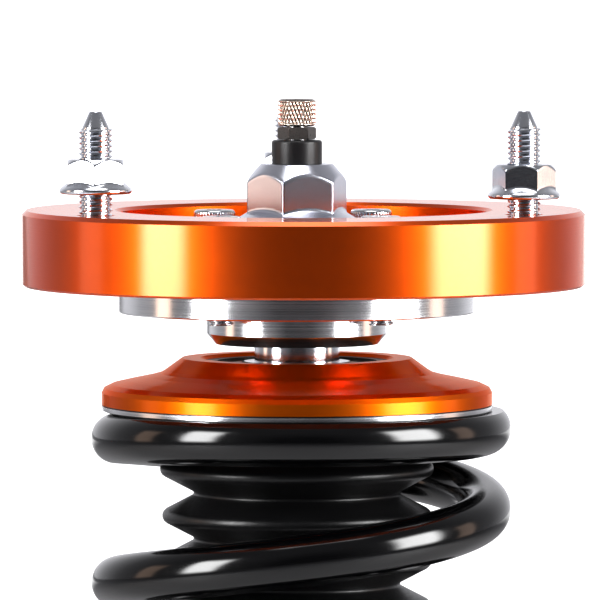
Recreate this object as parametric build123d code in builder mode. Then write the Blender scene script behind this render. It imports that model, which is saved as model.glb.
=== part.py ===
"""Coilover strut with a slotted camber plate on top.

Millimetres, +Z up. The origin is the centre of the mount ring's top face.
The strut hangs from a spherical bearing, a little to one side of the ring's
centre, because the camber plate is not set to the middle of its slots.
"""

import os
from math import cos, pi, radians, sin

from build123d import *

# ---- where the strut hangs
strut_x = -1.6
camber_travel = 8.0

# ---- mount ring
ring_r = 67.0
ring_thick = 18.0
ring_chamfer = 1.0
recess_r = 44.2
recess_depth = 8.3
recess_chamfer = 0.8
opening_r = 13.0
stud_circle_r = 58.0
stud_angles = (90, 210, 330)
stud_countersink = 0.5

# ---- M8 studs and flange nuts (threads at their pitch radius)
m8_r = 4.0
m8_pitch_r = 3.6
stud_shank = 3.5
stud_tip = 24.3
stud_foot = 17.5
pilot_length = 4.0
pilot_r = 3.15
pilot_tip_r = 1.45
nut_flats = 13.0
nut_height = 8.0
nut_crown = ((8.2, 6.4), (6.7, nut_height))
nut_flange = ((8.0, 0.0), (8.5, 0.5), (8.5, 1.3), (6.2, 2.8))
nut_lead_in_r = 4.1
nut_lead_in = 0.5
nut_seats = (3.6, 5.1, 3.75)
nut_face_angles = (0, -123, -100)

# ---- bearing housing and its four M6 bolts
plate_r = 42.5
plate_thick = 6.3
cup_r = 21.5
cup_low = -31.8
cup_chamfer = (2.1, 2.5)
m6_r = 3.0
m6_head_r = 5.0
m6_head = 6.0
m6_socket_flats = 5.0
m6_washer_r = 6.0
m6_washer = 1.6
m6_offset = 18.84
m6_tip_past = 2.1
slot_clearance = 0.3

# ---- spherical bearing
ball_z = -24.6
ball_r = 12.5
ball_width = 14.0
race_r = 15.0
race_width = 10.0
liner_gap = 0.03
liner_wall = 0.42
lip_r = 12.6
circlip_thick = 1.1
circlip_groove_r = 15.8
circlip_inner_r = 13.0

# ---- rod stack
m12_r = 6.0
rod_r = 10.0
rod_bore_r = 2.8
orifice_r = 1.5
rod_top = 10.9
rod_shoulder = -51.8
rod_low_shoulder = -226.0
rod_end = -254.0
spacer_r = 10.15
spacer_flange_r = 12.6
top_nut_flats = 21.3
top_nut_turn = -78.4
top_nut_low = -4.0
top_nut_corner_r = 12.3
top_nut_cone_low = 6.75
top_nut_cone_r = 8.7
top_nut_flange = ((14.5, top_nut_low), (14.5, -2.4), (14.0, -1.9), (12.2, -0.8), (10.4, 0.5))
collar_top = 16.6
collar_round = 0.7

# ---- adjuster
hex_flats = 8.0
hex_turn = -88.0
hex_low = 16.8
hex_top = 19.7
knob_r = 4.5
knob_low = 19.9
knob_top = 26.3
knob_chamfer = 0.5
pin_r = 2.4
pin_low = -150.0
spigot_r = 1.0
spigot_low = -165.0
needle_top = -152.5
needle_socket_r = 1.3
needle_low = -232.0

# ---- strut bearing, 20 x 42 x 12
bearing_top = -36.8
bearing_low = -48.8
bearing_outer_r = 21.0
bearing_outer_land_r = 18.1
bearing_inner_land_r = 12.9
bearing_pitch_r = 15.5
bearing_ball_r = 3.175
groove_r = 3.2
bearing_balls_count = 9
seal_thick = 1.0

# ---- upper spring seat
seat_top = -35.2
seat_low = -46.2
seat_r = 46.5
seat_top_r = 27.4
seat_slope = (
    (31.4, -38.1),
    (32.6, -38.8),
    (35.6, -39.6),
    (40.0, -40.5),
    (44.0, -41.4),
    (45.9, -42.3),
    (seat_r, -43.4),
)
seat_edge = 0.8
seat_recess_r = 22.2
seat_ring_r = 19.1
hub_r = 25.4
hub_bore_r = 18.0
hub_low = -56.0
isolator_thick = 0.3
isolator_r = 45.8
isolator_bore_r = 31.0
washer_thick = 1.0

# ---- main spring
wire_r = 6.05
coil_r = 44.0
spring_x = strut_x + 1.0
coil_pitch = 35.6
first_centre = -52.0
ramp_from = 98.0
ramp_to = 242.0
wire_start = -60.0
coil_turns = 6.3
ground_off = 4.2
point_step = 15.0

# ---- dust boot
crest_top = -62.0
crest_pitch = 10.85
crest_count = 11
boot_wall = 1.8
crest_apex_r = 34.2
crest_round = 1.8
valley_apex_r = 24.0
valley_round = 0.5
boot_top = -48.6
boot_cuff_r = 27.0
boot_low_cuff_r = 26.9
boot_low = -188.0
boot_slack = 0.3

# ---- bump stop
bump_r = 19.0
bump_neck_r = 14.5
bump_low = -80.0
bump_washer_r = 15.0

# ---- damper
tube_r = 25.0
tube_bore_r = 23.0
tube_top = -176.0
tube_low = -480.0
gland_rim_top = -174.0
gland_low = -184.0
wiper_r = 12.0
seal_r = 16.0
seal_top = -180.0
guide_low = -206.0
bush_r = 11.5
running_gap = 0.05
free_gap = 0.3
rebound_r = 13.0
piston_r = 22.7
piston_thick = 16.0
piston_ports = 6
port_r = 2.2
port_circle_r = 15.0
band_groove_r = 21.5
shim_thick = 0.5
shim_radii = (12.0, 15.0, 18.5)
piston_nut_flats = 19.0
floating_top = -352.0
floating_thick = 16.0
o_ring_wide = 3.0
cap_thick = 8.0
valve_r = 4.0
valve_low = -488.0

# ---- perch and lock collars
perch_drop = 15.6
perch_r = 47.5
perch_flange = 7.0
perch_hub_r = 36.0
perch_pilot_r = 29.4
perch_pilot = 4.4
collar_thick = 10.0
spanner_slots = 8
spanner_slot_wide = 6.0
spanner_slot_deep = 3.5

# ---- knuckle bracket
sleeve_r = 31.0
sleeve_top = -429.0
sleeve_low = -505.0
ear_gap = 32.0
ear_thick = 6.0
web_x = 34.0
web_thick = 5.0
web_tall = 57.0
sleeve_edge = 1.0
tab_root = 4.0
knuckle_bolt_x = 46.0
upper_bolt_z = -468.0
upper_bolt_r = 7.0
lower_bolt_z = -528.0
lower_bolt_r = 6.1
link_tab_x = -50.0
link_tab_z = -462.0
link_tab_r = 12.0
link_hole_r = 5.2
line_tab_y = -43.0
line_tab_r = 8.0
line_tab_thick = 3.0
line_hole_r = 4.0
ear_outline = (
    (strut_x, -438.0),
    (28.0, -438.0),
    (60.0, -454.0),
    (64.0, -468.0),
    (63.0, -534.0),
    (57.0, -547.0),
    (34.0, -547.0),
    (22.0, sleeve_low),
    (strut_x, sleeve_low),
)

os.makedirs("parts", exist_ok=True)


def turned(outline, at=(strut_x, 0, 0), mode=Mode.ADD):
    """Turn a closed outline of (radius, height) points about a vertical axis."""
    with BuildSketch(Plane(origin=at, x_dir=(1, 0, 0), z_dir=(0, -1, 0))) as section:
        with BuildLine():
            Polyline(*outline, close=True)
        make_face()
    revolve(section.sketch, axis=Axis(at, (0, 0, 1)), mode=mode)


def ring(outer_r, inner_r, top, low, mode=Mode.ADD):
    """A plain ring, or a disc if inner_r is 0, about the strut axis."""
    turned([(inner_r, top), (outer_r, top), (outer_r, low), (inner_r, low)], mode=mode)


def bore(radius, top, low):
    """Take a plain hole out along the strut axis."""
    ring(radius, 0, top, low, mode=Mode.SUBTRACT)


def hexagon(flats, low, top, face_angle, at=(strut_x, 0), mode=Mode.ADD):
    """A hexagonal prism with one face looking along face_angle."""
    with BuildSketch(Plane((at[0], at[1], low))) as outline:
        RegularPolygon(flats / 2, 6, major_radius=False, rotation=face_angle - 30)
    extrude(outline.sketch, amount=top - low, mode=mode)


def spanner_notches(outer_r, top, low):
    """Cut the slots that a C-spanner's hook takes."""
    with BuildSketch(Plane((strut_x, 0, low))) as notches:
        with PolarLocations(outer_r, spanner_slots):
            Rectangle(2 * spanner_slot_deep, spanner_slot_wide)
    extrude(notches.sketch, amount=top - low, mode=Mode.SUBTRACT)


def polar(radius, angle, height=0.0):
    """A point on a circle about the mount ring's own axis."""
    return (radius * cos(radians(angle)), radius * sin(radians(angle)), height)


def save(node, name):
    """Label a finished node and write it out."""
    node.part.label = name
    export_step(node.part, f"parts/{name}.step")


# ================= top mount =================
stud_points = [polar(stud_circle_r, angle) for angle in stud_angles]
bolt_points = [
    (strut_x + sx * m6_offset, sy * m6_offset) for sx in (-1, 1) for sy in (-1, 1)
]
slot_points = [(x - strut_x, y) for x, y in bolt_points]

with BuildPart() as mount_ring:
    turned(
        [
            (0, -recess_depth),
            (recess_r, -recess_depth),
            (recess_r, -recess_chamfer),
            (recess_r + recess_chamfer, 0),
            (ring_r - ring_chamfer, 0),
            (ring_r, -ring_chamfer),
            (ring_r, -ring_thick + ring_chamfer / 2),
            (ring_r - ring_chamfer / 2, -ring_thick),
            (0, -ring_thick),
        ],
        at=(0, 0, 0),
    )
    with BuildSketch(Plane.XY.offset(-ring_thick)) as slots:
        SlotCenterToCenter(2 * camber_travel, 2 * opening_r)
        with Locations(*slot_points):
            SlotCenterToCenter(2 * camber_travel, 2 * (m6_r + slot_clearance))
    extrude(slots.sketch, amount=ring_thick, mode=Mode.SUBTRACT)
    for x, y, _ in stud_points:
        turned(
            [
                (0, -ring_thick),
                (m8_pitch_r, -ring_thick),
                (m8_pitch_r, -m8_r + m8_pitch_r - stud_countersink),
                (m8_r + stud_countersink, 0),
                (0, 0),
            ],
            at=(x, y, 0),
            mode=Mode.SUBTRACT,
        )
save(mount_ring, "mount_ring")

with BuildPart() as mount_studs:
    for x, y, _ in stud_points:
        turned(
            [
                (0, -stud_foot),
                (m8_pitch_r, -stud_foot),
                (m8_pitch_r, 0),
                (m8_r, 0),
                (m8_r, stud_shank),
                (m8_pitch_r, stud_shank),
                (m8_pitch_r, stud_tip - pilot_length),
                (pilot_r, stud_tip - pilot_length),
                (pilot_tip_r, stud_tip),
                (0, stud_tip),
            ],
            at=(x, y, 0),
        )
save(mount_studs, "mount_studs")

with BuildPart() as flange_nut:
    hexagon(nut_flats, nut_lead_in, nut_height, 0, at=(0, 0))
    turned(
        [(0, 0), (nut_crown[0][0], 0), *nut_crown, (0, nut_height)],
        at=(0, 0, 0),
        mode=Mode.INTERSECT,
    )
    turned([(0, 0), *nut_flange, (0, nut_flange[-1][1])], at=(0, 0, 0))
    turned(
        [
            (0, 0),
            (nut_lead_in_r, 0),
            (m8_pitch_r, nut_lead_in),
            (m8_pitch_r, nut_height - nut_lead_in),
            (nut_lead_in_r, nut_height),
            (0, nut_height),
        ],
        at=(0, 0, 0),
        mode=Mode.SUBTRACT,
    )

with BuildPart() as stud_nuts:
    for (x, y, _), seat, turn in zip(stud_points, nut_seats, nut_face_angles):
        with Locations(Location((x, y, seat), (0, 0, turn))):
            add(flange_nut.part)
save(stud_nuts, "stud_nuts")

# ================= bearing carrier =================
plate_low = -ring_thick - plate_thick
race_top = ball_z + race_width / 2
race_low = ball_z - race_width / 2

with BuildPart() as bearing_housing:
    turned(
        [
            (lip_r, cup_low),
            (cup_r - cup_chamfer[0], cup_low),
            (cup_r, cup_low + cup_chamfer[1]),
            (cup_r, plate_low),
            (plate_r - 0.3, plate_low),
            (plate_r, plate_low + 0.3),
            (plate_r, -ring_thick),
            (race_r, -ring_thick),
            (race_r, race_top + circlip_thick),
            (circlip_groove_r, race_top + circlip_thick),
            (circlip_groove_r, race_top),
            (race_r, race_top),
            (race_r, race_low),
            (lip_r, race_low),
        ]
    )
    with BuildSketch(Plane.XY.offset(plate_low)) as bolt_holes:
        with Locations(*bolt_points):
            Circle(m6_r)
    extrude(bolt_holes.sketch, amount=plate_thick, mode=Mode.SUBTRACT)
save(bearing_housing, "bearing_housing")

with BuildPart() as bearing_race:
    ring(race_r, 0, race_top, race_low)
    with Locations((strut_x, 0, ball_z)):
        Sphere(ball_r + liner_wall + 2 * liner_gap, mode=Mode.SUBTRACT)
save(bearing_race, "bearing_race")

with BuildPart() as bearing_liner:
    with Locations((strut_x, 0, ball_z)):
        Sphere(ball_r + liner_wall + liner_gap)
        Sphere(ball_r + liner_gap, mode=Mode.SUBTRACT)
    ring(2 * race_r, 0, race_top, race_low, mode=Mode.INTERSECT)
save(bearing_liner, "bearing_liner")

with BuildPart() as race_circlip:
    ring(circlip_groove_r, circlip_inner_r, race_top + circlip_thick, race_top)
    with BuildSketch(Plane((strut_x, 0, race_top))) as clip_gap:
        with Locations((0, race_r)):
            Rectangle(5, 8)
    extrude(clip_gap.sketch, amount=circlip_thick, mode=Mode.SUBTRACT)
save(race_circlip, "race_circlip")

head_low = -recess_depth + m6_washer
head_top = head_low + m6_head
with BuildPart() as carrier_bolts:
    for x, y in bolt_points:
        turned(
            [
                (0, plate_low - m6_tip_past),
                (m6_r - 1, plate_low - m6_tip_past),
                (m6_r, plate_low - m6_tip_past + 1),
                (m6_r, head_low),
                (m6_head_r, head_low),
                (m6_head_r, head_top - 0.4),
                (m6_head_r - 0.4, head_top),
                (0, head_top),
            ],
            at=(x, y, 0),
        )
        hexagon(m6_socket_flats, head_top - 3.2, head_top, 10, at=(x, y), mode=Mode.SUBTRACT)
save(carrier_bolts, "carrier_bolts")

with BuildPart() as carrier_washers:
    with BuildSketch(Plane.XY.offset(-recess_depth)) as washer_outline:
        with Locations(*bolt_points):
            Circle(m6_washer_r)
            Circle(m6_r, mode=Mode.SUBTRACT)
    extrude(washer_outline.sketch, amount=m6_washer)
save(carrier_washers, "carrier_washers")

# ================= rod and what is clamped to it =================
ball_top = ball_z + ball_width / 2
ball_low = ball_z - ball_width / 2

with BuildPart() as bearing_ball:
    with Locations((strut_x, 0, ball_z)):
        Sphere(ball_r)
    ring(2 * ball_r, m12_r, ball_top, ball_low, mode=Mode.INTERSECT)
save(bearing_ball, "bearing_ball")

with BuildPart() as upper_spacer:
    turned(
        [
            (m12_r, ball_top),
            (spacer_r, ball_top),
            (spacer_r, top_nut_low - 3),
            (spacer_flange_r, top_nut_low),
            (m12_r, top_nut_low),
        ]
    )
save(upper_spacer, "upper_spacer")

with BuildPart() as lower_spacer:
    turned(
        [
            (m12_r, ball_low),
            (spacer_r, ball_low),
            (spacer_r, bearing_top + 0.8),
            (spacer_flange_r, bearing_top + 0.8),
            (spacer_flange_r, bearing_top),
            (rod_r, bearing_top),
            (rod_r, bearing_low),
            (m12_r, bearing_low),
        ]
    )
save(lower_spacer, "lower_spacer")

with BuildPart() as top_nut:
    hexagon(top_nut_flats, top_nut_low, rod_top, top_nut_turn)
    turned(
        [
            (0, top_nut_low),
            (top_nut_corner_r, top_nut_low),
            (top_nut_corner_r, top_nut_cone_low),
            (top_nut_cone_r, rod_top),
            (0, rod_top),
        ],
        mode=Mode.INTERSECT,
    )
    turned([(0, top_nut_low), *top_nut_flange, (0, top_nut_flange[-1][1])])
    bore(m12_r, rod_top, top_nut_low)
save(top_nut, "top_nut")

with BuildPart() as rod_collar:
    ring(m12_r, rod_bore_r, collar_top, rod_top)
    fillet(rod_collar.edges().group_by(Axis.Z)[-1].sort_by(SortBy.RADIUS)[-1], collar_round)
save(rod_collar, "rod_collar")

with BuildPart() as piston_rod:
    turned(
        [
            (rod_bore_r, rod_top),
            (m12_r, rod_top),
            (m12_r, rod_shoulder),
            (rod_r, rod_shoulder),
            (rod_r, rod_low_shoulder),
            (m12_r, rod_low_shoulder),
            (m12_r, rod_end + 1),
            (m12_r - 1, rod_end),
            (orifice_r, rod_end),
            (orifice_r, needle_low - 1),
            (rod_bore_r, needle_low - 1),
        ]
    )
save(piston_rod, "piston_rod")

bearing_mid = (bearing_top + bearing_low) / 2
with BuildPart() as bearing_inner_ring:
    ring(bearing_inner_land_r, rod_r, bearing_top, bearing_low)
    with Locations((strut_x, 0, bearing_mid)):
        Torus(bearing_pitch_r, groove_r, mode=Mode.SUBTRACT)
save(bearing_inner_ring, "bearing_inner_ring")

with BuildPart() as bump_washer:
    ring(bump_washer_r, m12_r, bearing_low, rod_shoulder)
save(bump_washer, "bump_washer")

with BuildPart() as bump_stop:
    turned(
        [
            (rod_r, rod_shoulder),
            (bump_neck_r, rod_shoulder),
            (bump_neck_r, hub_low - 1.5),
            (bump_r - 1, hub_low - 3.0),
            (bump_r, hub_low - 4.5),
            (bump_r, hub_low - 8.0),
            (bump_r - 3.0, hub_low - 10.5),
            (bump_r - 0.5, hub_low - 13.0),
            (bump_r - 1.0, hub_low - 17.0),
            (bump_r - 4.5, hub_low - 19.5),
            (bump_r - 2.5, hub_low - 21.5),
            (rod_r + 4.0, bump_low),
            (rod_r, bump_low),
        ]
    )
save(bump_stop, "bump_stop")

with BuildPart() as rebound_spacer:
    ring(rebound_r, rod_r, guide_low - free_gap, rod_low_shoulder)
save(rebound_spacer, "rebound_spacer")

shim_stack = shim_thick * len(shim_radii)
piston_top = rod_low_shoulder - shim_stack
piston_low = piston_top - piston_thick
with BuildPart() as piston:
    ring(piston_r, m12_r, piston_top, piston_low)
    ring(piston_r + 1, band_groove_r, piston_top - 4, piston_low + 4, mode=Mode.SUBTRACT)
    with BuildSketch(Plane((strut_x, 0, piston_low))) as ports:
        with PolarLocations(port_circle_r, piston_ports):
            Circle(port_r)
    extrude(ports.sketch, amount=piston_thick, mode=Mode.SUBTRACT)
save(piston, "piston")

with BuildPart() as piston_band:
    ring(tube_bore_r - running_gap, band_groove_r, piston_top - 4, piston_low + 4)
save(piston_band, "piston_band")

with BuildPart() as valve_shims:
    for step, radius in enumerate(shim_radii):
        above = rod_low_shoulder - step * shim_thick
        ring(radius, m12_r, above, above - shim_thick)
        below = piston_low - (len(shim_radii) - 1 - step) * shim_thick
        ring(radius, m12_r, below, below - shim_thick)
save(valve_shims, "valve_shims")

with BuildPart() as piston_nut:
    nut_top = piston_low - shim_stack
    hexagon(piston_nut_flats, rod_end + 1, nut_top, 0)
    ring(piston_nut_flats / 2 + 0.9, 0, nut_top, rod_end + 1, mode=Mode.INTERSECT)
    bore(m12_r, nut_top, rod_end + 1)
save(piston_nut, "piston_nut")

# ================= damping adjuster =================
with BuildPart() as adjuster_knob:
    turned(
        [
            (0, knob_low + 4),
            (pin_r, knob_low + 4),
            (pin_r, knob_low),
            (knob_r - knob_chamfer, knob_low),
            (knob_r, knob_low + knob_chamfer),
            (knob_r, knob_top - knob_chamfer),
            (knob_r - knob_chamfer, knob_top),
            (0, knob_top),
        ]
    )
save(adjuster_knob, "adjuster_knob")

with BuildPart() as adjuster_hex:
    hexagon(hex_flats, hex_low, hex_top, hex_turn)
    turned(
        [(0, hex_low), (5, hex_low), (5, hex_top - 0.6), (4, hex_top), (0, hex_top)],
        mode=Mode.INTERSECT,
    )
    bore(pin_r, hex_top, hex_low)
save(adjuster_hex, "adjuster_hex")

with BuildPart() as adjuster_pin:
    ring(pin_r, 0, knob_low + 4, pin_low)
    ring(spigot_r, 0, pin_low, spigot_low)
save(adjuster_pin, "adjuster_pin")

with BuildPart() as metering_needle:
    turned(
        [
            (needle_socket_r, needle_top),
            (pin_r, needle_top),
            (pin_r, needle_low + 6),
            (0.5, needle_low),
            (0, needle_low),
            (0, spigot_low - 3),
            (needle_socket_r, spigot_low - 3),
        ]
    )
save(metering_needle, "metering_needle")

# ================= strut bearing =================
with BuildPart() as bearing_outer_ring:
    ring(bearing_outer_r, bearing_outer_land_r, bearing_top, bearing_low)
    with Locations((strut_x, 0, bearing_mid)):
        Torus(bearing_pitch_r, groove_r, mode=Mode.SUBTRACT)
save(bearing_outer_ring, "bearing_outer_ring")

with BuildPart() as bearing_balls:
    with Locations((strut_x, 0, bearing_mid)):
        with PolarLocations(bearing_pitch_r, bearing_balls_count):
            Sphere(bearing_ball_r)
save(bearing_balls, "bearing_balls")

with BuildPart() as bearing_cage:
    ring(bearing_pitch_r + 1.1, bearing_pitch_r - 1.1, bearing_mid + 2, bearing_mid - 3.6)
    with Locations((strut_x, 0, bearing_mid)):
        with PolarLocations(bearing_pitch_r, bearing_balls_count):
            Sphere(groove_r, mode=Mode.SUBTRACT)
save(bearing_cage, "bearing_cage")

with BuildPart() as bearing_seals:
    seal_bore = bearing_inner_land_r + free_gap
    ring(bearing_outer_land_r, seal_bore, bearing_top - 0.2, bearing_top - 0.2 - seal_thick)
    ring(bearing_outer_land_r, seal_bore, bearing_low + 0.2 + seal_thick, bearing_low + 0.2)
save(bearing_seals, "bearing_seals")

# ================= upper spring seat =================
with BuildPart() as upper_spring_seat:
    turned(
        [
            (seat_recess_r, bearing_top),
            (seat_recess_r, seat_top - seat_edge),
            (seat_recess_r + seat_edge, seat_top),
            (seat_top_r, seat_top),
            *seat_slope,
            (seat_r, seat_low),
            (hub_r, seat_low),
            (hub_r, hub_low),
            (hub_bore_r, hub_low),
            (hub_bore_r, bearing_low),
            (bearing_outer_r, bearing_low),
            (bearing_outer_r, bearing_top),
        ]
    )
save(upper_spring_seat, "upper_spring_seat")

with BuildPart() as seat_retaining_ring:
    ring(seat_recess_r, seat_ring_r, bearing_top + 0.8, bearing_top)
save(seat_retaining_ring, "seat_retaining_ring")

washer_top = seat_low - isolator_thick
washer_low = washer_top - washer_thick
spring_top = washer_low - isolator_thick
with BuildPart() as spring_isolators:
    ring(isolator_r, isolator_bore_r, seat_low, washer_top)
    ring(isolator_r, isolator_bore_r, washer_low, spring_top)
save(spring_isolators, "spring_isolators")

with BuildPart() as upper_washer:
    ring(seat_r, isolator_bore_r - 1, washer_top, washer_low)
save(upper_washer, "upper_washer")


def fall(turn, total):
    """How far the wire has dropped below its first coil, closing up at both ends."""
    if turn > total / 2:
        return 2 * fall(total / 2, total) - fall(total - turn, total)
    angle = turn + wire_start
    if angle < ramp_from:
        return 0.0
    slope = coil_pitch / 360
    if angle < ramp_to:
        return slope * (angle - ramp_from) ** 2 / (2 * (ramp_to - ramp_from))
    return slope * (angle - (ramp_from + ramp_to) / 2)


wire_total = coil_turns * 360
wire_steps = round(wire_total / point_step)
wire_points = []
for step in range(wire_steps + 1):
    turn = wire_total * step / wire_steps
    heading = radians(-turn - wire_start)
    wire_points.append(
        (
            spring_x + coil_r * cos(heading),
            coil_r * sin(heading),
            first_centre - fall(turn, wire_total),
        )
    )
spring_low = first_centre - fall(wire_total, wire_total) - ground_off

with BuildPart() as main_spring:
    with BuildLine() as wire_path:
        Spline(*wire_points)
    with BuildSketch(Plane(wire_path.line @ 0, z_dir=wire_path.line % 0)):
        Circle(wire_r)
    sweep()
    ring(2 * coil_r, 0, spring_top, spring_low, mode=Mode.INTERSECT)
save(main_spring, "main_spring")


def boot_outline():
    """The boot's wall, down the outside and back up the inside, as (radius, height)."""
    crests = [crest_top - step * crest_pitch for step in range(crest_count)]
    outer = [(boot_cuff_r, boot_top), (boot_cuff_r, crest_top + crest_pitch / 2)]
    inner = [(hub_r, boot_top), (hub_r, crest_top + crest_pitch / 2)]
    for crest in crests:
        outer.append((crest_apex_r, crest))
        inner.append((crest_apex_r - boot_wall, crest))
        if crest != crests[-1]:
            outer.append((valley_apex_r, crest - crest_pitch / 2))
            inner.append((valley_apex_r - boot_wall, crest - crest_pitch / 2))
    cuff = crests[-1] - crest_pitch / 2
    outer += [(boot_low_cuff_r, cuff), (boot_low_cuff_r, boot_low)]
    inner += [(tube_r + boot_slack, cuff), (tube_r + boot_slack, boot_low)]
    return outer + inner[::-1]


with BuildPart() as dust_boot:
    with BuildSketch(Plane(origin=(strut_x, 0, 0), x_dir=(1, 0, 0), z_dir=(0, -1, 0))) as wall:
        with BuildLine():
            Polyline(*boot_outline(), close=True)
        make_face()
        corners = wall.vertices()
        fillet(corners.filter_by_position(Axis.X, 30, 40), crest_round)
        fillet(corners.filter_by_position(Axis.X, 20, valley_apex_r + 0.1), valley_round)
    revolve(axis=Axis((strut_x, 0, 0), (0, 0, 1)))
save(dust_boot, "dust_boot")

# ================= damper body =================
with BuildPart() as damper_tube:
    ring(tube_r, tube_bore_r, tube_top, tube_low)
save(damper_tube, "damper_tube")

shaft_hole = rod_r + running_gap
with BuildPart() as gland_cap:
    turned(
        [
            (wiper_r, gland_rim_top),
            (tube_r - 1, gland_rim_top),
            (tube_r, gland_rim_top - 1),
            (tube_r, tube_top),
            (tube_bore_r, tube_top),
            (tube_bore_r, gland_low),
            (seal_r, gland_low),
            (seal_r, seal_top),
            (wiper_r, seal_top),
        ]
    )
    with BuildSketch(Plane((strut_x, 0, gland_rim_top - 4))) as pin_holes:
        with PolarLocations((wiper_r + tube_r) / 2, 4):
            Circle(2)
    extrude(pin_holes.sketch, amount=4, mode=Mode.SUBTRACT)
save(gland_cap, "gland_cap")

with BuildPart() as rod_wiper:
    ring(wiper_r, shaft_hole, gland_rim_top - 1, seal_top)
save(rod_wiper, "rod_wiper")

with BuildPart() as rod_seal:
    ring(seal_r, shaft_hole, seal_top, gland_low)
save(rod_seal, "rod_seal")

with BuildPart() as rod_guide:
    ring(tube_bore_r, bush_r, gland_low, guide_low)
save(rod_guide, "rod_guide")

with BuildPart() as guide_bush:
    ring(bush_r, shaft_hole, gland_low - 1, guide_low + 1)
save(guide_bush, "guide_bush")

with BuildPart() as tube_end_cap:
    ring(tube_bore_r, valve_r, tube_low + cap_thick, tube_low)
save(tube_end_cap, "tube_end_cap")

with BuildPart() as gas_valve:
    turned(
        [
            (0, tube_low + cap_thick),
            (valve_r, tube_low + cap_thick),
            (valve_r, tube_low - 1),
            (valve_r - 1, tube_low - 2),
            (valve_r - 1, valve_low),
            (0, valve_low),
        ]
    )
save(gas_valve, "gas_valve")

floating_low = floating_top - floating_thick
floating_mid = (floating_top + floating_low) / 2
with BuildPart() as floating_piston:
    turned(
        [
            (0, floating_top - 6),
            (tube_bore_r - 8, floating_top - 6),
            (tube_bore_r - 6, floating_top),
            (tube_bore_r - free_gap, floating_top),
            (tube_bore_r - free_gap, floating_mid + o_ring_wide / 2),
            (band_groove_r - 1, floating_mid + o_ring_wide / 2),
            (band_groove_r - 1, floating_mid - o_ring_wide / 2),
            (tube_bore_r - free_gap, floating_mid - o_ring_wide / 2),
            (tube_bore_r - free_gap, floating_low),
            (0, floating_low),
        ]
    )
save(floating_piston, "floating_piston")

with BuildPart() as piston_o_ring:
    ring(
        tube_bore_r - running_gap,
        band_groove_r - 1,
        floating_mid + o_ring_wide / 2,
        floating_mid - o_ring_wide / 2,
    )
save(piston_o_ring, "piston_o_ring")

# ================= spring perch =================
perch_top = spring_low - 1.2
perch_low = perch_top - perch_drop
thread_hole = tube_r + free_gap

with BuildPart() as lower_washer:
    ring(perch_r, perch_pilot_r + free_gap, spring_low, perch_top)
save(lower_washer, "lower_washer")

with BuildPart() as spring_perch:
    turned(
        [
            (thread_hole, perch_top + perch_pilot),
            (perch_pilot_r - 1, perch_top + perch_pilot),
            (perch_pilot_r, perch_top + perch_pilot - 1),
            (perch_pilot_r, perch_top),
            (perch_r - 1, perch_top),
            (perch_r, perch_top - 1),
            (perch_r, perch_top - perch_flange + 1),
            (perch_r - 1, perch_top - perch_flange),
            (perch_hub_r + 3, perch_top - perch_flange - 1),
            (perch_hub_r, perch_top - perch_flange - 4),
            (perch_hub_r, perch_low),
            (thread_hole, perch_low),
        ]
    )
    spanner_notches(perch_r, perch_top, perch_low)
save(spring_perch, "spring_perch")


def lock_collar(top):
    """A slotted lock collar whose upper face is at the given height."""
    low = top - collar_thick
    turned(
        [
            (thread_hole, top),
            (perch_hub_r - 1, top),
            (perch_hub_r, top - 1),
            (perch_hub_r, low + 1),
            (perch_hub_r - 1, low),
            (thread_hole, low),
        ]
    )
    spanner_notches(perch_hub_r, top, low)


with BuildPart() as perch_lock_collar:
    lock_collar(perch_low)
save(perch_lock_collar, "perch_lock_collar")

# ================= lower bracket =================
with BuildPart() as bracket_lock_collar:
    lock_collar(sleeve_top + collar_thick)
save(bracket_lock_collar, "bracket_lock_collar")

def clear_of_sleeve():
    """Cuts away what would reach into the bracket's sleeve."""
    with BuildSketch(Plane((strut_x, 0, sleeve_low - sleeve_r))) as sleeve_disc:
        Circle(sleeve_r)
    extrude(sleeve_disc.sketch, amount=sleeve_top - sleeve_low + 2 * sleeve_r, mode=Mode.SUBTRACT)


def cross_hole(x, z, radius):
    """Cuts a hole along Y through everything at x and z."""
    with BuildSketch(Plane.XZ.offset(-2 * sleeve_r)) as hole:
        with Locations((x, z)):
            Circle(radius)
    extrude(hole.sketch, amount=4 * sleeve_r, mode=Mode.SUBTRACT)


with BuildPart() as bracket_sleeve:
    turned(
        [
            (thread_hole, sleeve_top),
            (sleeve_r - sleeve_edge, sleeve_top),
            (sleeve_r, sleeve_top - sleeve_edge),
            (sleeve_r, sleeve_low + sleeve_edge),
            (sleeve_r - sleeve_edge, sleeve_low),
            (thread_hole, sleeve_low),
        ]
    )
save(bracket_sleeve, "bracket_sleeve")

with BuildPart() as knuckle_bracket:
    for side in (-1, 1):
        inner_y = side * ear_gap / 2
        with BuildSketch(Plane.XZ.offset(-inner_y)) as ear:
            with BuildLine():
                Polyline(*ear_outline, close=True)
            make_face()
        extrude(ear.sketch, amount=-side * ear_thick)
    with BuildSketch(Plane.XZ.offset(-ear_gap / 2)) as web:
        with Locations((web_x, (sleeve_low + upper_bolt_z) / 2)):
            Rectangle(web_thick, web_tall)
    extrude(web.sketch, amount=ear_gap)
    clear_of_sleeve()
    cross_hole(knuckle_bolt_x, upper_bolt_z, upper_bolt_r)
    cross_hole(knuckle_bolt_x, lower_bolt_z, lower_bolt_r)
save(knuckle_bracket, "knuckle_bracket")

link_reach = strut_x - sleeve_r - link_tab_x + tab_root
with BuildPart() as drop_link_tab:
    with BuildSketch(Plane.XZ.offset(-ear_thick / 2)) as link_tab:
        with Locations((link_tab_x, link_tab_z)):
            Circle(link_tab_r)
        with Locations((link_tab_x + link_reach / 2, link_tab_z)):
            Rectangle(link_reach, 2 * link_tab_r)
    extrude(link_tab.sketch, amount=ear_thick)
    clear_of_sleeve()
    cross_hole(link_tab_x, link_tab_z, link_hole_r)
save(drop_link_tab, "drop_link_tab")

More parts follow.
